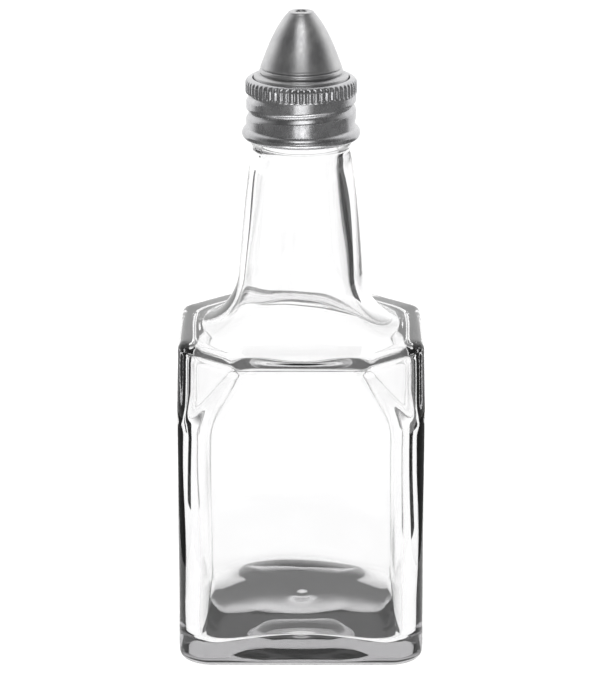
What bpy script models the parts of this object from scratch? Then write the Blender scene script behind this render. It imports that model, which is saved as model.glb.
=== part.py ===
"""Square glass cruet for oil or vinegar, closed by a steel screw collar that holds a cone pourer.

The origin is the centre of the base, on the table. +Z points up, and -Y is the front.
The collar turns on the neck's thread. Each turn raises it, the cone and the washer by one pitch.
"""

import math

import bmesh
import bpy
import numpy as np

MM = 0.001

# Glass body
BODY_WIDTH = 61.0 * MM
CORNER_RADIUS = 6.0 * MM
BODY_WALL = 3.3 * MM
HEEL_RADIUS = 4.0 * MM
FLOOR_THICKNESS = 5.5 * MM
FLOOR_CENTRE_HEIGHT = 15.0 * MM
FLOOR_DOME = 6.4 * MM
INNER_HEEL_RADIUS = 3.0 * MM
PUSH_UP_DEPTH = 1.6 * MM
BEARING_WIDTH = 6.5 * MM
CENTRE_MARK_RADIUS = 5.0 * MM

# Shoulder, with a flat facet across each upright corner
SHOULDER_HEIGHT = 81.5 * MM
FACET_LEG = 15.6 * MM
FACET_DROP = 16.0 * MM
SHOULDER_EDGE_RADIUS = 2.0 * MM
SHOULDER_RISE = 0.5 * MM
SHOULDER_RING_INSET = 5.0 * MM

# Neck
FLARE_HEIGHT = 13.0 * MM
FLARE_LOW_PULL = (4.9 * MM, 1.4 * MM)
FLARE_HIGH_PULL = (0.6 * MM, 7.4 * MM)
NECK_SPREAD = 3.5 * MM
NECK_TOP_RADIUS = 12.1 * MM
NECK_TAPER_POWER = 0.72
NECK_WALL = 2.8 * MM
NECK_HEIGHT = 31.5 * MM
NECK_RING_BULGE = 0.4 * MM
NECK_RING_HEIGHT = 2.6 * MM

# Threaded finish at the top of the neck
FINISH_HEIGHT = 15.8 * MM
RIM_RADIUS = 0.8 * MM
THREAD_PITCH = 4.23 * MM
THREAD_HEIGHT = 0.75 * MM
THREAD_HALF_WIDTH = 1.0 * MM
THREAD_TURNS = 1.5
THREAD_END_BELOW_RIM = 1.9 * MM
THREAD_FADE_TURNS = 0.1

# Collar, rolled from steel sheet
SHEET = 0.45 * MM
COLLAR_LIP_WIDTH = 1.6 * MM
COLLAR_LIP_RADIUS = 1.5 * MM
KNURL_HEIGHT = 2.5 * MM
KNURL_PROUD = 0.2 * MM
KNURL_COUNT = 56
KNURL_DEPTH = 0.3 * MM
KNURL_END_MARGIN = 0.3 * MM
KNURL_GROOVE_SHARE = 0.84
COLLAR_HEIGHT = 15.4 * MM
BEAD_RADIUS = 1.5 * MM
BEAD_PROUD = 1.05 * MM
GROOVE_DEPTH = 0.6 * MM
GROOVE_HALF_WIDTH = 1.3 * MM
GROOVE_TURNS_DOWN = 1.05
GROOVE_TURNS_UP = 0.65

# Cone pourer
CONE_HEIGHT = 13.85 * MM
CONE_FOOT_INSET = 1.65 * MM
CONE_TIP_RADIUS = 3.3 * MM
CONE_BULGE_RADIUS = 6.75 * MM
CONE_BULGE_DROP = 4.1 * MM
CONE_TIP_ROUNDING = 0.6 * MM
SPOUT_HOLE_RADIUS = 1.5 * MM
CONE_BEAD_RADIUS = 1.0 * MM
CONE_BEAD_PROUD = 0.25 * MM
FLANGE_STEP = 1.3 * MM
FLANGE_STEP_CHAMFER = 0.3 * MM

# Washer between the cone's flange and the glass rim
WASHER_THICKNESS = 1.0 * MM

# Clearances
SEAT_GAP = 0.3 * MM
SIDE_GAP = 0.3 * MM

# Mesh steps
FLAT_STEPS = 6
CORNER_STEPS = 6
ROUND_STEPS = 48
THREAD_ROW_STEP = 0.7 * MM

# Derived places, bottom to top
HALF_WIDTH = BODY_WIDTH / 2
FACET_TOP_REACH = 2 * HALF_WIDTH - FACET_LEG
FACET_TIP_REACH = 2 * (HALF_WIDTH - CORNER_RADIUS) + math.sqrt(2) * CORNER_RADIUS
NECK_FOOT_Z = SHOULDER_HEIGHT + FLARE_HEIGHT
NECK_TOP_Z = NECK_FOOT_Z + NECK_HEIGHT
RIM_Z = NECK_TOP_Z + FINISH_HEIGHT
WASHER_BOTTOM_Z = RIM_Z + SEAT_GAP
FLANGE_BOTTOM_Z = WASHER_BOTTOM_Z + WASHER_THICKNESS + SEAT_GAP
FLANGE_TOP_Z = FLANGE_BOTTOM_Z + SHEET
COLLAR_TOP_Z = FLANGE_TOP_Z + SEAT_GAP + SHEET
COLLAR_BOTTOM_Z = COLLAR_TOP_Z - COLLAR_HEIGHT
CONE_FOOT_Z = FLANGE_TOP_Z + FLANGE_STEP + 2 * CONE_BEAD_RADIUS
THREAD_END_Z = RIM_Z - THREAD_END_BELOW_RIM
GROOVE_MIDDLE_Z = THREAD_END_Z - THREAD_PITCH / 2

# Derived radii, from the shoulder inwards and then of what screws together
SHOULDER_RING_RADIUS = HALF_WIDTH - SHOULDER_RING_INSET
NECK_FOOT_RADIUS = NECK_TOP_RADIUS + NECK_SPREAD
FINISH_RADIUS = NECK_TOP_RADIUS
BORE_RADIUS = FINISH_RADIUS - NECK_WALL
COLLAR_INNER_RADIUS = FINISH_RADIUS + THREAD_HEIGHT + SIDE_GAP
COLLAR_RADIUS = COLLAR_INNER_RADIUS + SHEET
LIP_OPENING_RADIUS = COLLAR_RADIUS - COLLAR_LIP_WIDTH
FLANGE_RADIUS = COLLAR_INNER_RADIUS - SIDE_GAP
CONE_STEP_RADIUS = LIP_OPENING_RADIUS - SIDE_GAP
CONE_FOOT_RADIUS = CONE_STEP_RADIUS - CONE_FOOT_INSET


def clear_scene():
    for thing in list(bpy.data.objects):
        bpy.data.objects.remove(thing, do_unlink=True)


def make_material(name, colour, roughness, metallic=0.0, transmission=0.0):
    material = bpy.data.materials.new(name)
    material.use_nodes = True
    shader = material.node_tree.nodes["Principled BSDF"]
    shader.inputs["Base Color"].default_value = (*colour, 1.0)
    shader.inputs["Roughness"].default_value = roughness
    shader.inputs["Metallic"].default_value = metallic
    shader.inputs["Transmission Weight"].default_value = transmission
    material.diffuse_color = (*colour, 1.0)
    return material


def arc(centre, radius, start_deg, end_deg, steps):
    """Points of an arc in the (radius, height) plane, from start to end."""
    angles = np.radians(np.linspace(start_deg, end_deg, steps + 1))
    return [(centre[0] + radius * math.cos(a), centre[1] + radius * math.sin(a)) for a in angles]


def bezier(points, steps):
    """Points of the Bezier curve that these control points give, ends included."""
    degree = len(points) - 1
    curve = []
    for t in np.linspace(0.0, 1.0, steps + 1):
        weights = [math.comb(degree, k) * t**k * (1 - t) ** (degree - k) for k in range(degree + 1)]
        curve.append(tuple(np.dot(weights, points)))
    return curve


def offset_outline(outline, distance):
    """The outline moved by distance to the right of its direction, with mitred corners."""
    line = np.array(outline)
    steps = np.diff(line, axis=0)
    steps /= np.linalg.norm(steps, axis=1)[:, None]
    normals = np.stack([steps[:, 1], -steps[:, 0]], axis=1)
    before = np.vstack([normals[:1], normals])
    after = np.vstack([normals, normals[-1:]])
    mitre = (before + after) / (1 + (before * after).sum(axis=1))[:, None]
    return [tuple(point) for point in line + distance * mitre]


def mesh_object(name, rings, material, closed):
    """Joins rings of equal length with quads.

    A closed set joins its last ring to its first. An open one ends in a flat face on each end ring.
    """
    mesh = bpy.data.meshes.new(name)
    work = bmesh.new()
    rows = [[work.verts.new(point) for point in ring] for ring in rings]
    pairs = list(zip(rows, rows[1:]))
    if closed:
        pairs.append((rows[-1], rows[0]))
    else:
        work.faces.new(rows[0])
        work.faces.new(rows[-1])
    for low, high in pairs:
        for i in range(len(low)):
            j = (i + 1) % len(low)
            work.faces.new((low[i], low[j], high[j], high[i]))
    bmesh.ops.recalc_face_normals(work, faces=work.faces)
    work.to_mesh(mesh)
    work.free()
    mesh.shade_smooth()
    mesh.set_sharp_from_angle(angle=math.radians(35))
    mesh.materials.append(material)
    thing = bpy.data.objects.new(name, mesh)
    bpy.context.scene.collection.objects.link(thing)
    return thing


def round_ring(radius, height, angles):
    """A ring about +Z. radius may be one number or one for each angle."""
    radii = np.broadcast_to(radius, angles.shape)
    return np.stack([radii * np.cos(angles), radii * np.sin(angles), np.full(len(angles), height)], axis=1)


def turned_object(name, outline, material, angles):
    """A body of revolution from a closed outline of (radius, height) points."""
    rings = [round_ring(radius, height, angles) for radius, height in outline]
    return mesh_object(name, rings, material, closed=True)


def thread_profile(angles, height, middle_z, turns_down, turns_up, half_width):
    """How strongly a right-hand thread stands at this height, from 0 to 1, for each angle.

    Its middle line passes angle 0 at middle_z. It runs on from there by so many turns down and up,
    and fades out at both ends.
    """
    strengths = []
    for angle in angles:
        part_turn = angle / (2 * math.pi)
        best = 0.0
        for whole in range(-math.ceil(turns_down) - 1, math.ceil(turns_up) + 1):
            turn = part_turn + whole
            fade = min(turn + turns_down, turns_up - turn) / THREAD_FADE_TURNS
            away = abs(height - middle_z - THREAD_PITCH * turn) / half_width
            if fade > 0 and away < 1:
                best = max(best, min(fade, 1.0) * math.cos(away * math.pi / 2) ** 2)
        strengths.append(best)
    return np.array(strengths)


def square_ring(half_width, radius, reach, height):
    """A rounded square ring, with each corner cut off where x + y passes reach."""
    centre = half_width - radius
    corner = arc((centre, centre), radius, 0, 90, CORNER_STEPS)
    if reach < 2 * half_width - radius:
        end = np.array([half_width, reach - half_width])
        corner = [tuple(end + (end[::-1] - end) * t) for t in np.linspace(0, 1, CORNER_STEPS + 1)]
    elif reach < 2 * centre + math.sqrt(2) * radius:
        extra = [max(0.0, x + y - reach) / 2 for x, y in corner]
        corner = [(x - e, y - e) for (x, y), e in zip(corner, extra)]
    next_start = (-corner[0][1], corner[0][0])
    for t in np.linspace(0, 1, FLAT_STEPS + 1)[1:-1]:
        corner.append(tuple(np.array(corner[CORNER_STEPS]) * (1 - t) + np.array(next_start) * t))
    ring = []
    for turn in range(4):
        c, s = [(1, 0), (0, 1), (-1, 0), (0, -1)][turn]
        ring += [(c * x - s * y, s * x + c * y, height) for x, y in corner]
    return np.array(ring)


def facet_reach(height):
    """x + y on the facet's plane at this height."""
    return FACET_TOP_REACH + (FACET_TIP_REACH - FACET_TOP_REACH) * (SHOULDER_HEIGHT - height) / FACET_DROP


def facet_height(reach):
    """Height at which the facet's plane has this x + y."""
    return SHOULDER_HEIGHT - FACET_DROP * (reach - FACET_TOP_REACH) / (FACET_TIP_REACH - FACET_TOP_REACH)


def neck_line():
    """The neck's outer line from the shoulder ring up to the foot of the finish."""
    controls = [
        (SHOULDER_RING_RADIUS, SHOULDER_HEIGHT + SHOULDER_RISE),
        (NECK_FOOT_RADIUS + FLARE_LOW_PULL[0], SHOULDER_HEIGHT + FLARE_LOW_PULL[1]),
        (NECK_FOOT_RADIUS + FLARE_HIGH_PULL[0], SHOULDER_HEIGHT + FLARE_HIGH_PULL[1]),
        (NECK_FOOT_RADIUS, NECK_FOOT_Z),
    ]
    taper = []
    for t in np.linspace(1, 0, 7)[1:]:
        radius = NECK_TOP_RADIUS + (NECK_FOOT_RADIUS - NECK_TOP_RADIUS) * t**NECK_TAPER_POWER
        taper.append((radius, NECK_TOP_Z - NECK_HEIGHT * t))
    return bezier(controls, 6) + taper


def neck_ring_line():
    """The low bulge that the mould leaves between the neck and the finish."""
    middle_z = NECK_TOP_Z + NECK_RING_HEIGHT
    half_height = NECK_RING_HEIGHT / 2
    return [
        (NECK_TOP_RADIUS + NECK_RING_BULGE * math.cos(a) ** 2, middle_z + half_height * math.sin(a))
        for a in np.radians((-75, -30, 0, 30, 75))
    ]


def domed(ring, inner_half):
    """The ring with each point lifted to the domed inner floor, where it would lie below it."""
    distance = np.hypot(ring[:, 0], ring[:, 1])
    dome = FLOOR_CENTRE_HEIGHT - FLOOR_DOME * (distance / inner_half) ** 2
    return np.column_stack([ring[:, :2], np.maximum(ring[:, 2], dome)])


def make_bottle(material):
    rings = []
    bearing_outer = HALF_WIDTH - HEEL_RADIUS
    bearing_inner = bearing_outer - BEARING_WIDTH
    no_cut = 2 * BODY_WIDTH

    # Underside, from the centre mark out to the bearing ring and round the heel
    mark_ring = square_ring(bearing_inner, CORNER_RADIUS, no_cut, 0.0)
    mark_angles = np.arctan2(mark_ring[:, 1], mark_ring[:, 0])
    rings.append(round_ring(CENTRE_MARK_RADIUS, PUSH_UP_DEPTH, mark_angles))
    rings.append(mark_ring)
    for a in np.radians(np.linspace(-90, 0, 5)):
        half = bearing_outer + HEEL_RADIUS * math.cos(a)
        rings.append(square_ring(half, CORNER_RADIUS, no_cut, HEEL_RADIUS + HEEL_RADIUS * math.sin(a)))

    # Walls and facets. Above facet_wide_z a facet reaches the flat walls on both sides.
    edge_z = SHOULDER_HEIGHT - SHOULDER_EDGE_RADIUS
    facet_tip_z = SHOULDER_HEIGHT - FACET_DROP
    facet_wide_z = facet_height(2 * HALF_WIDTH - CORNER_RADIUS)
    facet_heights = (facet_tip_z, (facet_tip_z + facet_wide_z) / 2, facet_wide_z)
    for z in (*facet_heights, edge_z):
        rings.append(square_ring(HALF_WIDTH, CORNER_RADIUS, facet_reach(z), z))

    # Rounded shoulder edge
    for a in np.radians((30, 60, 85)):
        inward = SHOULDER_EDGE_RADIUS * (1 - math.cos(a))
        z = edge_z + SHOULDER_EDGE_RADIUS * math.sin(a)
        reach = facet_reach(edge_z) - math.sqrt(2) * inward
        rings.append(square_ring(HALF_WIDTH - inward, CORNER_RADIUS, reach, z))

    # Flare, neck and finish, on the directions of the shoulder edge
    edge = rings[-1]
    angles = np.arctan2(edge[:, 1], edge[:, 0]) % (2 * math.pi)
    for radius, z in neck_line() + neck_ring_line():
        rings.append(round_ring(radius, z, angles))
    thread_low = THREAD_END_Z - THREAD_PITCH * THREAD_TURNS - THREAD_HALF_WIDTH
    thread_high = THREAD_END_Z + THREAD_HALF_WIDTH
    row_count = round((thread_high - thread_low) / THREAD_ROW_STEP)
    for z in np.linspace(thread_low, thread_high, row_count + 1):
        ridge = thread_profile(angles, z, THREAD_END_Z, THREAD_TURNS, 0.0, THREAD_HALF_WIDTH)
        rings.append(round_ring(FINISH_RADIUS + THREAD_HEIGHT * ridge, z, angles))
    outer_rim = arc((FINISH_RADIUS - RIM_RADIUS, RIM_Z - RIM_RADIUS), RIM_RADIUS, 20, 90, 3)
    inner_rim = arc((BORE_RADIUS + RIM_RADIUS, RIM_Z - RIM_RADIUS), RIM_RADIUS, 90, 180, 3)
    for radius, z in outer_rim + inner_rim:
        rings.append(round_ring(radius, z, angles))

    # Bore and inside of the neck, down to the inner shoulder
    for radius, z in offset_outline(neck_line(), -NECK_WALL)[::-1]:
        rings.append(round_ring(radius, z, angles))

    # Inside of the body, down to the floor
    inner_half = HALF_WIDTH - BODY_WALL
    inner_drop = math.sqrt(2) * BODY_WALL
    inner_edge_z = edge_z - BODY_WALL
    for a in np.radians((80, 40, 0)):
        inward = SHOULDER_EDGE_RADIUS * (1 - math.cos(a))
        z = inner_edge_z + SHOULDER_EDGE_RADIUS * math.sin(a)
        reach = facet_reach(edge_z) - inner_drop - math.sqrt(2) * inward
        rings.append(square_ring(inner_half - inward, CORNER_RADIUS, reach, z))
    for z in facet_heights[::-1]:
        rings.append(square_ring(inner_half, CORNER_RADIUS, facet_reach(z) - inner_drop, z - BODY_WALL))
    for a in np.radians(np.linspace(0, -80, 5)):
        inward = INNER_HEEL_RADIUS * (1 - math.cos(a))
        z = FLOOR_THICKNESS + INNER_HEEL_RADIUS * (1 + math.sin(a))
        rings.append(domed(square_ring(inner_half - inward, CORNER_RADIUS, no_cut, z), inner_half))
    floor_edge = rings[-1]
    for share in (0.82, 0.62, 0.4):
        rings.append(domed(floor_edge * (share, share, 1.0), inner_half))
    rings.append(round_ring(CENTRE_MARK_RADIUS, FLOOR_CENTRE_HEIGHT, angles))
    return mesh_object("glass_bottle", rings, material, closed=False)


def collar_outline():
    """Outer and inner lines of the collar, both from the lip down to the bead."""
    lip_corner = (COLLAR_RADIUS + KNURL_PROUD - COLLAR_LIP_RADIUS, COLLAR_TOP_Z - COLLAR_LIP_RADIUS)
    outer = [(LIP_OPENING_RADIUS, COLLAR_TOP_Z)]
    outer += arc(lip_corner, COLLAR_LIP_RADIUS, 90, 0, 4)
    knurl_end = lip_corner[1] - KNURL_HEIGHT
    outer.append((COLLAR_RADIUS + KNURL_PROUD, knurl_end + KNURL_PROUD))
    outer.append((COLLAR_RADIUS, knurl_end))
    bead_centre = (COLLAR_RADIUS + BEAD_PROUD - BEAD_RADIUS, COLLAR_BOTTOM_Z + BEAD_RADIUS)
    bead_top = math.degrees(math.acos((COLLAR_RADIUS - bead_centre[0]) / BEAD_RADIUS))
    bead = arc(bead_centre, BEAD_RADIUS, bead_top, -75, 7)
    row_count = round((knurl_end - bead[0][1]) / THREAD_ROW_STEP)
    wall = [(COLLAR_RADIUS, z) for z in np.linspace(knurl_end, bead[0][1], row_count + 1)[1:-1]]
    inner_top_z = COLLAR_TOP_Z - SHEET
    groove_clear_z = GROOVE_MIDDLE_Z + THREAD_PITCH * GROOVE_TURNS_UP + GROOVE_HALF_WIDTH
    inner = [(LIP_OPENING_RADIUS, inner_top_z), (COLLAR_INNER_RADIUS - SHEET / 2, inner_top_z)]
    inner.append((COLLAR_INNER_RADIUS, inner_top_z - SHEET / 2))
    inner.append((COLLAR_INNER_RADIUS, groove_clear_z))
    inner.append((COLLAR_INNER_RADIUS, (groove_clear_z + knurl_end) / 2))
    inner.append((COLLAR_INNER_RADIUS, knurl_end))
    inner += [(COLLAR_INNER_RADIUS, z) for _, z in wall]
    inner.append((COLLAR_INNER_RADIUS, bead[0][1]))
    inner.append((COLLAR_INNER_RADIUS, COLLAR_BOTTOM_Z + SHEET))
    return outer + wall + bead, inner


def make_knurl_cutter():
    """Upright V grooves round the knurled band and half of the lip's rounding.

    They are separate prisms in one hidden object.
    """
    band_radius = COLLAR_RADIUS + KNURL_PROUD
    band_top = COLLAR_TOP_Z - COLLAR_LIP_RADIUS / 2
    band_bottom = COLLAR_TOP_Z - COLLAR_LIP_RADIUS - KNURL_HEIGHT + KNURL_END_MARGIN
    outer = band_radius + KNURL_DEPTH
    deep = band_radius - KNURL_DEPTH
    half_angle = KNURL_GROOVE_SHARE * math.pi / KNURL_COUNT
    work = bmesh.new()
    for i in range(KNURL_COUNT):
        middle = 2 * math.pi * (i + 0.5) / KNURL_COUNT
        corners = [(outer, middle - half_angle), (outer, middle + half_angle), (deep, middle)]
        low = [work.verts.new((r * math.cos(a), r * math.sin(a), band_bottom)) for r, a in corners]
        high = [work.verts.new((r * math.cos(a), r * math.sin(a), band_top)) for r, a in corners]
        work.faces.new(low)
        work.faces.new(high)
        for k in range(3):
            n = (k + 1) % 3
            work.faces.new((low[k], low[n], high[n], high[k]))
    bmesh.ops.recalc_face_normals(work, faces=work.faces)
    mesh = bpy.data.meshes.new("knurl_cutter")
    work.to_mesh(mesh)
    work.free()
    cutter = bpy.data.objects.new("knurl_cutter", mesh)
    cutter.hide_render = True
    cutter.display_type = "WIRE"
    bpy.context.scene.collection.objects.link(cutter)
    return cutter


def make_collar(material, angles):
    outer, inner = collar_outline()
    rings = []
    for radius, z in outer + inner[::-1]:
        groove = thread_profile(
            angles, z, GROOVE_MIDDLE_Z, GROOVE_TURNS_DOWN, GROOVE_TURNS_UP, GROOVE_HALF_WIDTH
        )
        rings.append(round_ring(radius - GROOVE_DEPTH * groove, z, angles))
    collar = mesh_object("cap_collar", rings, material, closed=True)
    cut = collar.modifiers.new("knurl", "BOOLEAN")
    cut.operation = "DIFFERENCE"
    cut.object = make_knurl_cutter()
    return collar


def cone_outline():
    """The cone's outer line from the spout hole down to the edge of its flange."""
    top_z = CONE_FOOT_Z + CONE_HEIGHT
    rounding = (CONE_TIP_RADIUS - CONE_TIP_ROUNDING, top_z - CONE_TIP_ROUNDING)
    line = [(SPOUT_HOLE_RADIUS, top_z)]
    line += arc(rounding, CONE_TIP_ROUNDING, 90, 20, 2)
    side = [line[-1], (CONE_BULGE_RADIUS, top_z - CONE_BULGE_DROP), (CONE_FOOT_RADIUS, CONE_FOOT_Z)]
    line += bezier(side, 6)[1:]
    bead_z = CONE_FOOT_Z - CONE_BEAD_RADIUS
    bead_centre = (CONE_FOOT_RADIUS + CONE_BEAD_PROUD - CONE_BEAD_RADIUS, bead_z)
    line += arc(bead_centre, CONE_BEAD_RADIUS, 50, -50, 3)
    ledge_z = FLANGE_TOP_Z + FLANGE_STEP
    line.append((CONE_STEP_RADIUS - FLANGE_STEP_CHAMFER, ledge_z))
    line.append((CONE_STEP_RADIUS, ledge_z - FLANGE_STEP_CHAMFER))
    line.append((CONE_STEP_RADIUS, FLANGE_TOP_Z))
    line.append((FLANGE_RADIUS, FLANGE_TOP_Z))
    return line


def make_cone(material, angles):
    outer = cone_outline()
    inner = offset_outline(outer, SHEET)
    return turned_object("pour_cone", outer + inner[::-1], material, angles)


def make_washer(material, angles):
    low = WASHER_BOTTOM_Z
    high = WASHER_BOTTOM_Z + WASHER_THICKNESS
    outline = [
        (BORE_RADIUS, low),
        (BORE_RADIUS, high),
        (FLANGE_RADIUS, high),
        (FLANGE_RADIUS, low),
    ]
    return turned_object("seal_washer", outline, material, angles)


def main():
    clear_scene()
    glass = make_material("clear_glass", (0.97, 0.98, 0.98), 0.02, transmission=1.0)
    collar_steel = make_material("collar_steel", (0.55, 0.55, 0.56), 0.3, metallic=1.0)
    cone_steel = make_material("cone_steel", (0.58, 0.58, 0.59), 0.34, metallic=1.0)
    liner = make_material("liner", (0.85, 0.85, 0.83), 0.5)
    angles = np.arange(ROUND_STEPS) * 2 * math.pi / ROUND_STEPS
    make_bottle(glass)
    make_collar(collar_steel, angles)
    make_cone(cone_steel, angles)
    make_washer(liner, angles)


main()
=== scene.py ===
import math

import bpy
import numpy as np
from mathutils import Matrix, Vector


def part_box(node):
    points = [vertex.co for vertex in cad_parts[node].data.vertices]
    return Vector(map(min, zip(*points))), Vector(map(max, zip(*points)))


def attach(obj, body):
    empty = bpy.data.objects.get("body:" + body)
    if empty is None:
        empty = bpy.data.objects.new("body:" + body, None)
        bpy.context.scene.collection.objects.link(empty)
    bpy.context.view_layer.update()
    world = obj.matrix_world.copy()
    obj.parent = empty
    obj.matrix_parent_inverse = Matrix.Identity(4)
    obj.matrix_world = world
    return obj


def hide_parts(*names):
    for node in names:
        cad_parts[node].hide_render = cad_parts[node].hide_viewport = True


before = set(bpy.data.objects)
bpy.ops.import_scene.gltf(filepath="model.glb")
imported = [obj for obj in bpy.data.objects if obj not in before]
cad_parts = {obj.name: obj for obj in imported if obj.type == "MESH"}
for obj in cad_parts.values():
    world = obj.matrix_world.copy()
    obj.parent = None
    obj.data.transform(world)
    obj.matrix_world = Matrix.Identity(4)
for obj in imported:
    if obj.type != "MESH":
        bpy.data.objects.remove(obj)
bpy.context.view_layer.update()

mm = 0.001
scene = bpy.context.scene
print("frame loaded:", sorted(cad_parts))

# Where the CAD nodes are. The rim, the cap's heights and the outer widths below start from these.
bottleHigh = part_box("glass_bottle")[1]
collarLow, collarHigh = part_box("cap_collar")
coneLow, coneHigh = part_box("pour_cone")
washerLow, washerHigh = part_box("seal_washer")


# A smooth step from 0 to 1 between two edges: 3t^2 - 2t^3 of the clipped share t
def smoothStep(low, high, value):
    t = np.clip((value - low) / (high - low), 0, 1)
    return t * t * (3 - 2 * t)


# An arc in the plane of radius and height: the centre plus radius times (cos, sin) of the angle
def arc(centreRadius, centreHeight, radius, startDegrees, endDegrees, count):
    angle = np.radians(np.linspace(startDegrees, endDegrees, count))
    return np.stack([centreRadius + radius * np.cos(angle), centreHeight + radius * np.sin(angle)], 1)


# A cubic curve with four control points: the Bernstein weights times the points
def cubic(points, count):
    t = np.linspace(0, 1, count)[:, None]
    p = np.array(points)
    return (1 - t) ** 3 * p[0] + 3 * t * (1 - t) ** 2 * p[1] + 3 * t * t * (1 - t) * p[2] + t ** 3 * p[3]


# Turns rows of points into a closed skin. Row i joins row i + 1 by quads. A ring of rows joins its
# last row to its first, and otherwise a point on the axis closes each end with a fan of triangles.
def skin(name, points, ringOfRows=False):
    rows, columns = points.shape[:2]
    index = np.arange(rows * columns).reshape(rows, columns)
    here = index if ringOfRows else index[:-1]
    above = np.roll(index, -1, 0) if ringOfRows else index[1:]
    quads = np.stack([here, np.roll(here, -1, 1), np.roll(above, -1, 1), above], -1).reshape(-1, 4)
    vertices = points.reshape(-1, 3)
    faces = quads.tolist()
    if not ringOfRows:
        poles = np.array([[0, 0, points[0, :, 2].mean()], [0, 0, points[-1, :, 2].mean()]])
        vertices = np.vstack([vertices, poles])
        first, last = index[0], index[-1]
        start, end = np.full(columns, len(vertices) - 2), np.full(columns, len(vertices) - 1)
        faces += np.stack([np.roll(first, -1), first, start], -1).tolist()
        faces += np.stack([last, np.roll(last, -1), end], -1).tolist()
    mesh = bpy.data.meshes.new(name)
    mesh.from_pydata(vertices.tolist(), [], faces)
    mesh.validate()
    mesh.shade_smooth()
    piece = bpy.data.objects.new(name, mesh)
    scene.collection.objects.link(piece)
    return piece


# Points round the axis: (r cos a, r sin a, z), where r and z may differ with the angle a
def turned(radius, height, angles):
    radius, height = np.broadcast_arrays(radius, height + 0 * angles)
    return np.stack([radius * np.cos(angles), radius * np.sin(angles), height], -1)


# How strongly a right-hand thread stands at each height and angle, from 0 to 1. Its middle line is
# height = middle + pitch * turn, its section is a squared cosine, and both ends fade.
def thread(angles, height, middle, pitch, turnsDown, turnsUp, halfWidth, fade):
    strength = np.zeros(np.broadcast_shapes(height.shape, angles.shape))
    for whole in range(-math.ceil(turnsDown) - 1, math.ceil(turnsUp) + 1):
        turn = angles / (2 * math.pi) + whole
        ends = np.clip(np.minimum(turn + turnsDown, turnsUp - turn) / fade, 0, 1)
        away = np.clip(np.abs(height - middle - pitch * turn) / halfWidth, 0, 1)
        strength = np.maximum(strength, ends * np.cos(away * math.pi / 2) ** 2)
    return strength


# A new material with its node tree and its main shader
def newMaterial(name):
    material = bpy.data.materials.new(name)
    material.use_nodes = True
    tree = material.node_tree
    return material, tree, tree.nodes["Principled BSDF"]


# A noise in the object's own coordinates, which are first multiplied by the stretch
def addNoise(tree, scale, detail, stretch=(1, 1, 1)):
    place = tree.nodes.new("ShaderNodeTexCoord")
    mapping = tree.nodes.new("ShaderNodeMapping")
    mapping.inputs["Scale"].default_value = stretch
    texture = tree.nodes.new("ShaderNodeTexNoise")
    texture.inputs["Scale"].default_value = scale
    texture.inputs["Detail"].default_value = detail
    tree.links.new(place.outputs["Object"], mapping.inputs["Vector"])
    tree.links.new(mapping.outputs["Vector"], texture.inputs["Vector"])
    return texture.outputs["Fac"]


# The shader's colour from a value: one colour up to the first position, the other from the second
def addColours(tree, shader, value, colours, positions):
    ramp = tree.nodes.new("ShaderNodeValToRGB")
    for element, colour, position in zip(ramp.color_ramp.elements, colours, positions):
        element.position = position
        element.color = colour
    tree.links.new(value, ramp.inputs["Fac"])
    tree.links.new(ramp.outputs["Color"], shader.inputs["Base Color"])


# The shader's normal tilted by the slope of a height that spans the given depth
def addBump(tree, shader, height, strength, depth):
    bump = tree.nodes.new("ShaderNodeBump")
    bump.inputs["Strength"].default_value = strength
    bump.inputs["Distance"].default_value = depth
    tree.links.new(height, bump.inputs["Height"])
    tree.links.new(bump.outputs["Normal"], shader.inputs["Normal"])


# Maps a value's range to another range in a straight line, or with a smooth step
def addRemap(tree, value, source, result, smooth=False):
    node = tree.nodes.new("ShaderNodeMapRange")
    if smooth:
        node.interpolation_type = "SMOOTHSTEP"
    for key, number in zip(("From Min", "From Max", "To Min", "To Max"), (*source, *result)):
        node.inputs[key].default_value = number
    tree.links.new(value, node.inputs["Value"])
    return node.outputs["Result"]


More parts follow.
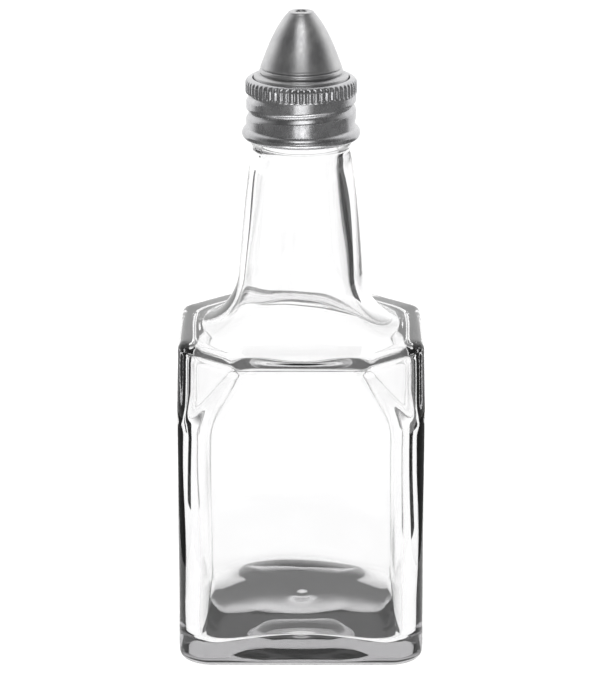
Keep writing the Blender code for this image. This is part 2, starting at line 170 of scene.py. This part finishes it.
bottle = {
    "columns": 256,
    "cornerCrowding": 0.45,        # how much closer the columns stand at the corners
    "cornerRadius": 6.0 * mm,
    "heelRadius": 4.0 * mm,
    "bearingWidth": 6.5 * mm,
    "pushUp": 1.6 * mm,
    "pushUpSag": 0.35,             # share of the push-up's height that is lost towards its edge
    "dimple": (0.35 * mm, 2.2 * mm),   # depth and radius of the mould's mark in the middle
    "shoulderHeight": 81.5 * mm,
    "facetLeg": 15.6 * mm,
    "facetDrop": 16.0 * mm,
    "facetEdge": 0.9 * mm,
    "finerFrom": 3.0 * mm,         # below the facet's tip, where the rows begin to stand closer
    "shoulderEdge": 2.4 * mm,
    "shoulderRise": 0.5 * mm,
    "shoulderRing": 25.5 * mm,
    "shoulderWall": 3.0 * mm,
    "flareLow": (4.9 * mm, 1.4 * mm),  # the flare's two middle points, outside the neck's foot and
    "flareHigh": (0.6 * mm, 7.4 * mm),     # above the shoulder
    "neckFootHeight": 94.5 * mm,
    "neckFootRadius": 15.6 * mm,
    "neckTopRadius": 12.1 * mm,
    "neckTopHeight": 126.0 * mm,
    "neckTaper": 0.72,
    "neckRingBulge": 0.4 * mm,
    "neckRingHeight": 2.6 * mm,
    "neckWall": 2.8 * mm,
    "boreShift": 0.7 * mm,         # the neck's bore leans to the left, so its wall is uneven
    "leanTop": (2.0 * mm, -6.0 * mm),  # from the neck's top: where the lean begins and is full
    "leanFoot": (-2.0 * mm, 10.0 * mm),    # from the shoulder: the same at the lower end
    "rimRadius": 0.8 * mm,
    "threadPitch": 4.23 * mm,
    "threadProud": 0.75 * mm,
    "threadTurns": 1.5,
    "threadHalfWidth": 1.0 * mm,
    "threadBelowRim": 1.9 * mm,
    "threadFade": 0.1,             # turns over which each end of the thread rises
    "wall": 3.3 * mm,
    "floor": 5.5 * mm,
    "floorDome": 6.4 * mm,         # the inner floor's rise from under the wall's middle to the axis
    "floorTop": 15.6 * mm,
    "floorTilt": 0.6 * mm,         # the inner floor stands a little higher at the back
    "floorSoftness": 1.2 * mm,     # how softly the dome runs into the wall
    "innerCorner": 6.0 * mm,
    "innerHeel": 3.0 * mm,
    "innerFacetEdge": 3.0 * mm,
    "innerShoulderEdge": 2.6 * mm,
    "waviness": 0.22 * mm,         # how uneven the inside of the mould-blown wall is
    "neckSeed": 3,
    "wallSeed": 7,
    "neckWaves": (1.0 * mm, -8.0 * mm),    # from the neck's top: where the waves begin and are full
    "wallWaves": (8.0 * mm, 20.0 * mm),    # above the table: the same for the body's wall
    "wavesUnderShoulder": 8.0 * mm,
}


# Radius of a rounded square with its corners cut off, for each direction. The shape is where the
# larger of two distances is zero: to the rounded square and to the cut plane, joined by a fillet.
# It is found by halving an interval, and 34 halvings take it below a billionth of a metre.
def squareRadius(angles, half, corner, reach, fillet):
    c, s = np.abs(np.cos(angles)), np.abs(np.sin(angles))
    half, corner, reach = (np.asarray(v, float).reshape(-1, 1) for v in (half, corner, reach))
    low = np.zeros(np.broadcast_shapes(half.shape, angles.shape))
    high = low + 1.5 * half
    for _ in range(34):
        middle = (low + high) / 2
        x, y = middle * c - half + corner, middle * s - half + corner
        square = np.hypot(np.maximum(x, 0), np.maximum(y, 0)) + np.minimum(np.maximum(x, y), 0) - corner
        cut = (middle * (c + s) - reach) / math.sqrt(2)
        joined = np.maximum(square, cut) + np.maximum(fillet - np.abs(square - cut), 0) ** 2 / (4 * fillet)
        low = np.where(joined < 0, middle, low)
        high = np.where(joined < 0, high, middle)
    return low


# The facet's plane as x + y at each height: a straight line from the shoulder to the corner's tip
def facetReach(height, half):
    b = bottle
    top = 2 * half - b["facetLeg"]
    tip = 2 * (half - b["cornerRadius"]) + math.sqrt(2) * b["cornerRadius"]
    return top + (tip - top) * (b["shoulderHeight"] - height) / b["facetDrop"]


# The neck's line from the shoulder ring to the finish: a cubic flare, then a taper by a power
def neckLine():
    b = bottle
    foot, footZ, shoulder = b["neckFootRadius"], b["neckFootHeight"], b["shoulderHeight"]
    flare = cubic([
        (b["shoulderRing"], shoulder + b["shoulderRise"]),
        (foot + b["flareLow"][0], shoulder + b["flareLow"][1]),
        (foot + b["flareHigh"][0], shoulder + b["flareHigh"][1]),
        (foot, footZ)], 22)
    t = np.linspace(1, 0, 26)[1:]
    taper = np.stack([
        b["neckTopRadius"] + (foot - b["neckTopRadius"]) * t ** b["neckTaper"],
        b["neckTopHeight"] - (b["neckTopHeight"] - footZ) * t], 1)
    return np.vstack([flare, taper])


# A slow unevenness over angle and height: a sum of sines with whole numbers of waves round the axis
def unevenness(angles, height, seed):
    random = np.random.default_rng(seed)
    total = 0
    for around in (1, 2, 3, 5, 8):
        phase, rise = random.uniform(0, 2 * math.pi), random.uniform(-90, 90)
        total = total + np.sin(around * angles + rise * height * 2 + phase) / math.sqrt(around)
    return total / 2


# Rows of squareRadius rings and of circles, from the middle of the underside up the outside, over
# the rim, down the inside and to the middle of the inner floor
def makeBottle():
    b = bottle
    half = bottleHigh.x
    rimZ = bottleHigh.z
    turn = np.linspace(0, 2 * math.pi, b["columns"], endpoint=False)
    angles = turn + b["cornerCrowding"] * np.sin(4 * turn) / 4
    noCut = 4 * half
    neckTop, shoulder = b["neckTopHeight"], b["shoulderHeight"]
    parts = []

    def squareRows(halves, corners, reaches, heights, fillet=b["facetEdge"]):
        halves, corners, reaches, heights = np.broadcast_arrays(halves, corners, reaches, heights)
        radius = squareRadius(angles, halves, corners, reaches, fillet)
        return turned(radius, heights[:, None], angles)

    # underside, from near the axis to the bearing ring, and round the heel
    bearingOuter = half - b["heelRadius"]
    bearingInner = bearingOuter - b["bearingWidth"]
    t = np.linspace(0.04, 1, 16)[:-1]
    dome = b["pushUp"] * (1 - smoothStep(0.55, 1.0, t)) * (1 - b["pushUpSag"] * t ** 2)
    dimple = -b["dimple"][0] * np.exp(-(t * bearingInner / b["dimple"][1]) ** 2)
    flat = squareRadius(angles, bearingInner, b["cornerRadius"], noCut, b["facetEdge"])
    circle = np.full_like(flat, bearingInner * 0.8)
    blend = smoothStep(0.2, 0.9, t)[:, None]
    ring = circle * (1 - blend) + flat * blend
    parts.append(turned(t[:, None] * ring, (dome + dimple)[:, None], angles))
    bearing = [bearingInner, bearingInner + 0.5 * b["bearingWidth"]]
    parts.append(squareRows(bearing, b["cornerRadius"], noCut, 0.0))
    heel = arc(bearingOuter, b["heelRadius"], b["heelRadius"], -90, 0, 9)
    parts.append(squareRows(heel[:, 0], b["cornerRadius"], noCut, heel[:, 1]))

    # walls and facets
    edgeZ = shoulder - b["shoulderEdge"]
    tipZ = shoulder - b["facetDrop"]
    finerZ = tipZ - b["finerFrom"]
    wall = np.concatenate([
        np.linspace(b["heelRadius"], finerZ, 26)[1:],
        np.linspace(finerZ, edgeZ, 30)[1:]])
    parts.append(squareRows(half, b["cornerRadius"], facetReach(wall, half), wall))

    # rounded shoulder edge, then across the shoulder to its ring, and the neck
    a = np.radians(np.linspace(0, 84, 9))[1:]
    inward = b["shoulderEdge"] * (1 - np.cos(a))
    edge = squareRows(
        half - inward, b["cornerRadius"], facetReach(edgeZ, half) - math.sqrt(2) * inward,
        edgeZ + b["shoulderEdge"] * np.sin(a))
    parts.append(edge)
    neck = neckLine()
    t = np.linspace(0, 1, 7)[1:-1, None, None]
    ringPoints = turned(neck[:1, :1], neck[:1, 1:], angles)
    parts.append(edge[-1:] * (1 - t) + ringPoints * t)
    parts.append(turned(neck[:, :1], neck[:, 1:], angles))

    # low ring that the mould leaves under the finish
    a = np.radians(np.linspace(-80, 80, 9))[:, None]
    ringRadius = b["neckTopRadius"] + b["neckRingBulge"] * np.cos(a) ** 2
    ringZ = neckTop + b["neckRingHeight"] * (1 + np.sin(a) / 2)
    parts.append(turned(ringRadius, ringZ, angles))

    # finish with its thread, and the rim
    pitch, width, threadEnd = b["threadPitch"], b["threadHalfWidth"], rimZ - b["threadBelowRim"]
    rows = np.linspace(threadEnd - b["threadTurns"] * pitch - width, threadEnd + width, 24)[:, None]
    ridge = thread(angles[None, :], rows, threadEnd, pitch, b["threadTurns"], 0.0, width, b["threadFade"])
    parts.append(turned(b["neckTopRadius"] + b["threadProud"] * ridge, rows, angles))
    rim = b["rimRadius"]
    boreRadius = b["neckTopRadius"] - b["neckWall"]
    lip = np.vstack([
        arc(b["neckTopRadius"] - rim, rimZ - rim, rim, 15, 90, 5),
        arc(boreRadius + rim, rimZ - rim, rim, 90, 180, 6)])
    parts.append(turned(lip[:, :1], lip[:, 1:], angles))

    # inside of the neck: the outer line moved inwards by the neck's wall
    step = np.gradient(neck, axis=0)
    normal = np.stack([-step[:, 1], step[:, 0]], 1) / np.linalg.norm(step, axis=1)[:, None]
    inner = (neck + b["neckWall"] * normal)[::-1]
    uneven = unevenness(angles[None, :], inner[:, 1:], b["neckSeed"]) * b["waviness"]
    uneven = uneven * smoothStep(neckTop + b["neckWaves"][0], neckTop + b["neckWaves"][1], inner[:, 1:])
    bore = turned(inner[:, :1] + uneven, inner[:, 1:], angles)
    lean = smoothStep(neckTop + b["leanTop"][0], neckTop + b["leanTop"][1], inner[:, 1])
    lean = lean * smoothStep(shoulder + b["leanFoot"][0], shoulder + b["leanFoot"][1], inner[:, 1])
    bore[..., 0] -= b["boreShift"] * lean[:, None]
    parts.append(bore)

    # inside of the body, down to the floor
    innerHalf = half - b["wall"]
    drop = math.sqrt(2) * b["wall"]
    innerEdgeZ = shoulder - b["shoulderWall"] - b["innerShoulderEdge"]
    a = np.radians(np.linspace(80, 0, 9))
    inward = b["innerShoulderEdge"] * (1 - np.cos(a))
    parts.append(squareRows(
        innerHalf - inward, b["innerCorner"],
        facetReach(innerEdgeZ + b["wall"], half) - drop - math.sqrt(2) * inward,
        innerEdgeZ + b["innerShoulderEdge"] * np.sin(a), b["innerFacetEdge"]))
    finerZ = tipZ - b["wall"] - b["finerFrom"]
    wall = np.concatenate([
        np.linspace(innerEdgeZ, finerZ, 24)[1:],
        np.linspace(finerZ, b["floor"] + b["innerHeel"], 26)[1:]])
    reach = facetReach(wall + b["wall"], half) - drop
    inside = squareRows(innerHalf, b["innerCorner"], reach, wall, b["innerFacetEdge"])
    uneven = unevenness(angles[None, :], wall[:, None], b["wallSeed"]) * b["waviness"]
    fade = smoothStep(innerEdgeZ, innerEdgeZ - b["wavesUnderShoulder"], wall)
    fade = fade * smoothStep(*b["wallWaves"], wall)
    inside[..., :2] *= 1 + (uneven * fade[:, None] / half)[..., None]
    parts.append(inside)
    a = np.radians(np.linspace(0, -84, 11))[1:]
    inward = b["innerHeel"] * (1 - np.cos(a))
    heelRows = squareRows(
        innerHalf - inward, b["innerCorner"], noCut, b["floor"] + b["innerHeel"] * (1 + np.sin(a)))
    parts.append(heelRows)
    t = np.linspace(1, 0.04, 20)[1:, None, None]
    floorRows = heelRows[-1:] * t
    floorRows[..., 2] = heelRows[-1, :, 2]
    parts.append(floorRows)
    whole = np.concatenate(parts)

    # the inner floor is domed: what is inside and low is lifted to the dome where that is higher
    low = np.arange(len(whole)) >= len(whole) - len(floorRows) - len(heelRows) - len(inside)
    distance = np.hypot(whole[..., 0], whole[..., 1])
    dome = b["floorTop"] - b["floorDome"] * (distance / innerHalf) ** 2
    dome = dome + b["floorTilt"] * whole[..., 1] / innerHalf
    z, soft = whole[..., 2], b["floorSoftness"]
    lifted = np.maximum(z, dome) + np.maximum(soft - np.abs(z - dome), 0) ** 2 / (4 * soft)
    whole[..., 2] = np.where(low[:, None], lifted, z)
    return skin("glassBottle", whole)


glassLook = {
    "roughness": 0.0,
    "ior": 1.5,
    "colour": (1, 1, 1, 1),
    "absorbedPerMetre": 16.0,      # a wall is clear, and glass seen along its length is dark
    "absorptionTint": (0.06, 0.05, 0.07, 1),
    "rippleScale": 70.0,           # slow unevenness of a mould-blown surface
    "rippleStrength": 0.3,
    "rippleDepth": 0.0001,
}


# Clear glass with a slow ripple. The light left after a path is exp(-density * length).
def glassMaterial():
    g = glassLook
    material, tree, shader = newMaterial("clearBottleGlass")
    shader.inputs["Base Color"].default_value = g["colour"]
    shader.inputs["Roughness"].default_value = g["roughness"]
    shader.inputs["IOR"].default_value = g["ior"]
    shader.inputs["Transmission Weight"].default_value = 1.0
    addBump(tree, shader, addNoise(tree, g["rippleScale"], 1), g["rippleStrength"], g["rippleDepth"])
    depth = tree.nodes.new("ShaderNodeVolumeAbsorption")
    depth.inputs["Color"].default_value = g["absorptionTint"]
    depth.inputs["Density"].default_value = g["absorbedPerMetre"]
    tree.links.new(depth.outputs[0], tree.nodes["Material Output"].inputs["Volume"])
    return material


glassBottle = makeBottle()
glassBottle.data.materials.append(glassMaterial())
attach(glassBottle, "bottle")
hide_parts("glass_bottle")
glassBottle.visible_shadow = False    # light goes through it to the floor
glassBottle.visible_diffuse = False
print("glass bottle:", len(glassBottle.data.polygons), "faces")


# Satin steel: a fine grain drawn out along the axis in the bump and the roughness, faint cloudy
# patches in the colour, and a few dull worn spots. The roughness is the grain's plus the spots'.
def steelMaterial(name, look):
    material, tree, shader = newMaterial(name)
    shader.inputs["Metallic"].default_value = 1.0
    grain = addNoise(tree, look["grainScale"], 2, (1, 1, look["grainStretch"]))
    clouds = addNoise(tree, look["cloudScale"], 4)
    addColours(tree, shader, clouds, look["colours"], (0.3, 0.7))
    both = tree.nodes.new("ShaderNodeMath")
    both.operation = "ADD"
    tree.links.new(addRemap(tree, grain, (0.3, 0.7), look["roughness"]), both.inputs[0])
    tree.links.new(addRemap(tree, clouds, (0.45, 0.8), (0, look["wornRoughness"])), both.inputs[1])
    tree.links.new(both.outputs[0], shader.inputs["Roughness"])
    addBump(tree, shader, grain, look["bumpStrength"], look["bumpDepth"])
    return material


cone = {
    "columns": 160,
    "sheet": 0.45 * mm,
    "holeRadius": 1.5 * mm,
    "tipRadius": 3.3 * mm,
    "tipRounding": 0.6 * mm,
    "bulge": (6.75 * mm, 4.1 * mm),    # radius of the side's control point, and its drop below the top
    "footRadius": 10.05 * mm,
    "beadRadius": 1.0 * mm,
    "beadProud": 0.25 * mm,
    # rolled edge and sharp crease over the bead: inwards and down from the side's foot
    "crease": ((0, -0.02 * mm), (0.05 * mm, 0.1 * mm), (0.35 * mm, 0.17 * mm), (0.35 * mm, 0.27 * mm)),
    "stepRadius": 11.7 * mm,
    "stepHeight": 1.3 * mm,
    "stepChamfer": 0.3 * mm,
    "flangeFillet": 0.1 * mm,
}
coneLook = {
    "grainStretch": 0.16,          # below 1 draws the grain out along the axis
    "grainScale": 1700.0,
    "cloudScale": 160.0,
    "colours": ((0.44, 0.44, 0.45, 1), (0.60, 0.60, 0.60, 1)),
    "roughness": (0.3, 0.4),
    "wornRoughness": 0.06,
    "bumpStrength": 0.3,
    "bumpDepth": 0.00003,
}


# A line moved sideways by a distance: each point along the mean normal of its two steps
def besideLine(line, distance):
    step = np.diff(line, axis=0)
    step /= np.linalg.norm(step, axis=1)[:, None]
    normal = np.stack([step[:, 1], -step[:, 0]], 1)
    before, after = np.vstack([normal[:1], normal]), np.vstack([normal, normal[-1:]])
    return line + distance * (before + after) / (1 + (before * after).sum(1))[:, None]


# One outline turned round the axis: the tip's arc, the side as a quadratic curve, the bead's arc, the
# step and the flange, then the same line moved inwards by the sheet's thickness
def makeCone():
    c = cone
    top = coneHigh.z
    flangeTop = coneLow.z + c["sheet"]
    ledge = flangeTop + c["stepHeight"]
    footZ = ledge + 2 * c["beadRadius"]
    foot, bead, chamfer, fillet = c["footRadius"], c["beadRadius"], c["stepChamfer"], c["flangeFillet"]
    rounding = arc(c["tipRadius"] - c["tipRounding"], top - c["tipRounding"], c["tipRounding"], 90, 22, 5)
    t = np.linspace(0, 1, 30)[:, None]
    points = np.array([rounding[-1], (c["bulge"][0], top - c["bulge"][1]), (foot, footZ)])
    side = (1 - t) ** 2 * points[0] + 2 * t * (1 - t) * points[1] + t * t * points[2]
    head = np.vstack([[(c["holeRadius"], top)], rounding, side[1:-1]])
    beadLine = arc(foot + c["beadProud"] - bead, footZ - bead, bead, 50, -62, 11)
    below = np.vstack([
        arc(c["stepRadius"] - chamfer, ledge - chamfer, chamfer, 80, 5, 4),
        [(c["stepRadius"], flangeTop + fillet), (c["stepRadius"] + fillet, flangeTop)],
        [(coneHigh.x, flangeTop)]])
    inner = besideLine(np.vstack([head, side[-1:], beadLine, below]), c["sheet"])
    inner[0, 1] = top - c["sheet"]
    crease = [(foot - inward, footZ - down) for inward, down in c["crease"]]
    outer = np.vstack([head, crease, beadLine[1:], below])
    outline = np.vstack([outer, inner[::-1]])[::-1]
    angles = np.linspace(0, 2 * math.pi, c["columns"], endpoint=False)
    return skin("coneSpout", turned(outline[:, :1], outline[:, 1:], angles), ringOfRows=True)


coneSpout = makeCone()
coneSpout.data.materials.append(steelMaterial("turnedConeSteel", coneLook))
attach(coneSpout, "spout")
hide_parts("pour_cone")
print("cone spout:", len(coneSpout.data.polygons), "faces")


collar = {
    "serrations": 56,
    "columnsEach": 8,
    "sheet": 0.45 * mm,
    "height": 15.4 * mm,
    "lipInner": 12.0 * mm,
    "lipBevel": 0.12 * mm,
    "lipRounding": 1.5 * mm,
    "wallRadius": 13.6 * mm,
    "innerWallTop": 3.2 * mm,      # below the top of the collar
    "knurlProud": 0.2 * mm,
    "knurlDepth": 0.34 * mm,
    "knurlPower": 1.6,
    "knurlTop": 0.7 * mm,          # below the top of the collar
    "knurlEnd": 4.0 * mm,
    "knurlFadeTop": (0.5 * mm, -0.2 * mm),     # from those two heights: where it begins and is full
    "knurlFadeEnd": (-0.1 * mm, 0.7 * mm),
    "beadRadius": 1.5 * mm,
    "beadProud": 1.05 * mm,
    "grooveDepth": 0.6 * mm,
    "grooveHalfWidth": 1.35 * mm,
    "grooveTurns": (1.05, 0.65),
    "grooveFade": 0.1,
}
collarLook = {
    "grainStretch": 0.5,
    "grainScale": 1100.0,
    "cloudScale": 220.0,
    "colours": ((0.40, 0.40, 0.41, 1), (0.56, 0.56, 0.57, 1)),
    "roughness": (0.2, 0.3),
    "wornRoughness": 0.08,
    "bumpStrength": 0.4,
    "bumpDepth": 0.00004,
}


# One outline turned round the axis, less a helical groove and less a valley for each serration. A
# valley is (0.5 + 0.5 cos(n a)) to a power that keeps the land wide, faded at the band's two ends.
def makeCollar():
    c = collar
    top, bottom = collarHigh.z, collarLow.z
    wall, proud, sheetWidth, bead = c["wallRadius"], c["knurlProud"], c["sheet"], c["beadRadius"]
    rounding, bevel = c["lipRounding"], c["lipBevel"]
    lip = arc(wall + proud - rounding, top - rounding, rounding, 90, 0, 9)
    knurlTop, knurlEnd = top - c["knurlTop"], top - c["knurlEnd"]
    beadMiddle = (wall + c["beadProud"] - bead, top - c["height"] + bead)
    start = math.degrees(math.acos((wall - beadMiddle[0]) / bead))
    beadLine = arc(*beadMiddle, bead, start, -78, 16)
    band = np.stack([np.full(12, wall + proud), np.linspace(lip[-1, 1], knurlEnd + proud, 13)[1:]], 1)
    body = np.linspace(knurlEnd, beadLine[0, 1], 42)[:-1]
    outer = np.vstack([
        [(c["lipInner"], top - bevel), (c["lipInner"] + bevel, top)], lip, band,
        np.stack([np.full(41, wall), body], 1), beadLine])
    inside = wall - sheetWidth
    rise = np.linspace(beadLine[0, 1], top - c["innerWallTop"], 30)
    inner = np.vstack([
        [(inside, bottom + sheetWidth)],
        np.stack([np.full(30, inside), rise], 1),
        [(inside, top - 1.5 * sheetWidth), (inside - sheetWidth / 2, top - sheetWidth)],
        [(c["lipInner"], top - sheetWidth)]])
    outline = np.vstack([outer, inner])[::-1]
    outside = (np.arange(len(outline)) >= len(inner))[:, None]
    angles = np.linspace(0, 2 * math.pi, c["serrations"] * c["columnsEach"], endpoint=False)
    radius, height = outline[:, :1] + 0 * angles, outline[:, 1:]
    middle = bottleHigh.z - bottle["threadBelowRim"] - bottle["threadPitch"] / 2
    groove = thread(
        angles[None, :], height, middle, bottle["threadPitch"],
        *c["grooveTurns"], c["grooveHalfWidth"], c["grooveFade"])
    radius = radius - c["grooveDepth"] * groove
    valley = (0.5 + 0.5 * np.cos(c["serrations"] * angles)) ** c["knurlPower"]
    ends = smoothStep(knurlEnd + c["knurlFadeEnd"][0], knurlEnd + c["knurlFadeEnd"][1], height)
    ends = ends * smoothStep(knurlTop + c["knurlFadeTop"][0], knurlTop + c["knurlFadeTop"][1], height)
    radius = radius - c["knurlDepth"] * valley * ends * outside
    return skin("screwCollar", turned(radius, height, angles), ringOfRows=True)


screwCollar = makeCollar()
screwCollar.data.materials.append(steelMaterial("rolledCollarSteel", collarLook))
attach(screwCollar, "collar")
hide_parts("cap_collar")
print("screw collar:", len(screwCollar.data.polygons), "faces")


washer = {"columns": 96, "innerRadius": 9.3 * mm, "rounding": 0.2 * mm}
washerLook = {
    "colours": ((0.78, 0.78, 0.75, 1), (0.88, 0.88, 0.86, 1)),
    "grain": 900.0,
    "roughness": 0.5,
    "bumpStrength": 0.15,
    "bumpDepth": 0.00005,
}


# A rounded rectangle turned round the axis: four quarter arcs, joined
def makeWasher():
    w = washer
    inner, outer, low, high, r = w["innerRadius"], washerHigh.x, washerLow.z, washerHigh.z, w["rounding"]
    outline = np.vstack([
        arc(outer - r, low + r, r, -90, 0, 4), arc(outer - r, high - r, r, 0, 90, 4),
        arc(inner + r, high - r, r, 90, 180, 4), arc(inner + r, low + r, r, 180, 270, 4)])
    angles = np.linspace(0, 2 * math.pi, w["columns"], endpoint=False)
    return skin("sealWasher", turned(outline[:, :1], outline[:, 1:], angles), ringOfRows=True)


# Pale soft liner, with one fine noise for its colour and its bump
def washerMaterial():
    w = washerLook
    material, tree, shader = newMaterial("softLiner")
    shader.inputs["Roughness"].default_value = w["roughness"]
    grain = addNoise(tree, w["grain"], 2)
    addColours(tree, shader, grain, w["colours"], (0, 1))
    addBump(tree, shader, grain, w["bumpStrength"], w["bumpDepth"])
    return material


sealWasher = makeWasher()
sealWasher.data.materials.append(washerMaterial())
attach(sealWasher, "spout")
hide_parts("seal_washer")
print("washer:", len(sealWasher.data.polygons), "faces")


studio = {
    "floorSize": 8.0,
    "floorGrey": 0.95,
    "floorGap": 0.2 * mm,          # the floor is just clear of the bottle's bearing ring
    "roomWhite": 1.3,              # what the camera and the floor see
    "steelDark": 0.14,             # what steel sees behind the camera
    "steelBack": (-0.2, 0.6),      # how far towards the back the white begins and is full for steel
    "glassDark": 0.15,             # what glass sees overhead
    "glassSweep": (0.12, 0.36),    # sine of the elevation where the white fades out for glass
    "cloth": (0.10, 3.0, 0.25),    # nearest and farthest distance, and how far it reaches to the back
    "clothHeight": 0.5 * mm,
    "clothGrey": 0.17,
    "cardFoot": 0.3 * mm,          # height of the cards' lower edge
    # start and end in degrees to the left of straight back, near and far distance, height, grey
    "cards": {
        "leftInnerCard": (47, 55, 0.30, 0.30, 0.13, 0.01),
        "leftOuterCard": (62, 80, 0.30, 0.30, 0.13, 0.01),
        "leftFloorCard": (62, 80, 0.115, 0.30, 0.0, 0.01),
        "rightInnerCard": (-58, -36, 0.30, 0.30, 0.13, 0.01),
        "rightOuterCard": (-80, -58, 0.30, 0.30, 0.13, 0.2),
        "rightFloorCard": (-80, -60, 0.115, 0.30, 0.0, 0.01),
        "farLeftCard": (137, 150, 0.30, 0.30, 0.13, 0.01),
        "frontLeftCard": (164, 176, 0.30, 0.30, 0.13, 0.01),
    },
    "lampTarget": (0, 0, 0.1),
    # azimuth, elevation, distance, size, radiance
    "lamps": {
        "topSoftbox": (0, 48, 0.9, (0.44, 0.5), 2.3),
        "lowReflector": (1, -9, 0.5, (0.24, 0.14), 3.0),
        "tableGlow": (0, -45, 0.11, (0.13, 0.055), 2.2),
    },
}
productView = {
    "sensorHeight": 36,
    "lens": 176.2,
    "clip": (0.05, 50),
    "azimuth": 0.08,
    "elevation": 16.92,
    "distance": 0.8634,
    "target": (-0.28 * mm, 0, 74.29 * mm),
}


# A flat sheet from its corners, with a plain dull material
def flatSheet(name, corners, grey):
    mesh = bpy.data.meshes.new(name)
    mesh.from_pydata(corners, [], [tuple(range(len(corners)))])
    thing = bpy.data.objects.new(name, mesh)
    scene.collection.objects.link(thing)
    material, tree, shader = newMaterial(name + "Paper")
    shader.inputs["Base Color"].default_value = (grey, grey, grey, 1)
    shader.inputs["Roughness"].default_value = 1.0
    shader.inputs["Specular IOR Level"].default_value = 0.0
    mesh.materials.append(material)
    return thing


# A large pale square round the origin
def makeFloor():
    s, z = studio["floorSize"], -studio["floorGap"]
    flatSheet("paleFloor", [(-s, -s, z), (s, -s, z), (s, s, z), (-s, s, z)], studio["floorGrey"])


# A dark cloth in a U round the camera's side of the bottle, a square less a slot, for steel only
def makeCloth():
    near, far, back = studio["cloth"]
    z = studio["clothHeight"]
    corners = [(-far, -far, z), (far, -far, z), (far, back, z), (near, back, z),
               (near, -near, z), (-near, -near, z), (-near, back, z), (-far, back, z)]
    cloth = flatSheet("floorCloth", corners, studio["clothGrey"])
    cloth.visible_camera = False
    cloth.visible_diffuse = False
    cloth.visible_transmission = False
    cloth.visible_shadow = False


# Dark cards stand round the bottle or lie on the floor outside the view, for the glass only. A card's
# lower corners are at distance times (cos, sin) of its two angles, and the upper ones likewise.
def makeCards():
    foot = studio["cardFoot"]
    for name, (start, end, near, far, height, grey) in studio["cards"].items():
        a = np.radians([90 + start, 90 + end])
        low = [(near * math.cos(v), near * math.sin(v), foot) for v in a]
        high = [(far * math.cos(v), far * math.sin(v), height + foot) for v in a[::-1]]
        card = flatSheet(name, low + high, grey)
        card.visible_camera = False
        card.visible_diffuse = False
        card.visible_glossy = False
        card.visible_shadow = False


# Puts a lamp or a camera at a distance from its target and points it there. The direction is
# (sin a cos e, -cos a cos e, sin e), so that azimuth 0 is straight in front.
def aim(thing, target, azimuth, elevation, distance):
    a, e = math.radians(azimuth), math.radians(elevation)
    back = Vector((math.sin(a) * math.cos(e), -math.cos(a) * math.cos(e), math.sin(e)))
    thing.location = Vector(target) + distance * back
    thing.rotation_euler = (-back).to_track_quat("-Z", "Y").to_euler()


# A soft lamp that lights the steel only. Its power is radiance * pi * area.
def makeLamp(name, azimuth, elevation, distance, size, radiance):
    data = bpy.data.lights.new(name, "AREA")
    data.shape = "RECTANGLE"
    data.size, data.size_y = size
    data.energy = radiance * math.pi * size[0] * size[1]
    lamp = bpy.data.objects.new(name, data)
    scene.collection.objects.link(lamp)
    aim(lamp, studio["lampTarget"], azimuth, elevation, distance)
    lamp.visible_camera = False
    lamp.visible_transmission = False
    lamp.visible_diffuse = False
    lamp.light_linking.receiver_collection = steelPieces


# The world. The camera and the floor see plain white. Glass sees white that fades out upwards, by a
# smooth step of the direction's z. Steel sees it only towards the back, by a smooth step of y.
def makeWorld():
    world = bpy.data.worlds.new("studioRoom")
    world.use_nodes = True
    scene.world = world
    tree = world.node_tree
    link = tree.links.new
    place = tree.nodes.new("ShaderNodeTexCoord")
    split = tree.nodes.new("ShaderNodeSeparateXYZ")
    link(place.outputs["Generated"], split.inputs[0])
    white, s = studio["roomWhite"], studio
    steelRoom = addRemap(tree, split.outputs["Y"], s["steelBack"], (s["steelDark"], white), smooth=True)
    glassRoom = addRemap(tree, split.outputs["Z"], s["glassSweep"], (white, s["glassDark"]), smooth=True)
    path = tree.nodes.new("ShaderNodeLightPath")
    seen = tree.nodes.new("ShaderNodeMix")
    link(path.outputs["Is Transmission Ray"], seen.inputs["Factor"])
    link(steelRoom, seen.inputs["A"])
    link(glassRoom, seen.inputs["B"])
    plain = tree.nodes.new("ShaderNodeMath")
    plain.operation = "MAXIMUM"
    link(path.outputs["Is Camera Ray"], plain.inputs[0])
    link(path.outputs["Is Diffuse Ray"], plain.inputs[1])
    room = tree.nodes.new("ShaderNodeMix")
    link(plain.outputs[0], room.inputs["Factor"])
    link(seen.outputs["Result"], room.inputs["A"])
    room.inputs["B"].default_value = white
    link(room.outputs["Result"], tree.nodes["Background"].inputs["Color"])


# A long lens that looks slightly down at the middle of the bottle
def makeCamera():
    v = productView
    data = bpy.data.cameras.new("productCamera")
    data.sensor_fit = "VERTICAL"
    data.sensor_height = v["sensorHeight"]
    data.lens = v["lens"]
    data.clip_start, data.clip_end = v["clip"]
    camera = bpy.data.objects.new("productCamera", data)
    scene.collection.objects.link(camera)
    aim(camera, v["target"], v["azimuth"], v["elevation"], v["distance"])
    scene.camera = camera


makeFloor()
makeCloth()
makeCards()
steelPieces = bpy.data.collections.new("steelPieces")
for piece in (coneSpout, screwCollar):
    steelPieces.objects.link(piece)
for name, settings in studio["lamps"].items():
    makeLamp(name, *settings)
makeWorld()
makeCamera()
scene.view_settings.view_transform = "Standard"    # white paper stays white
print("stage, light and camera made")
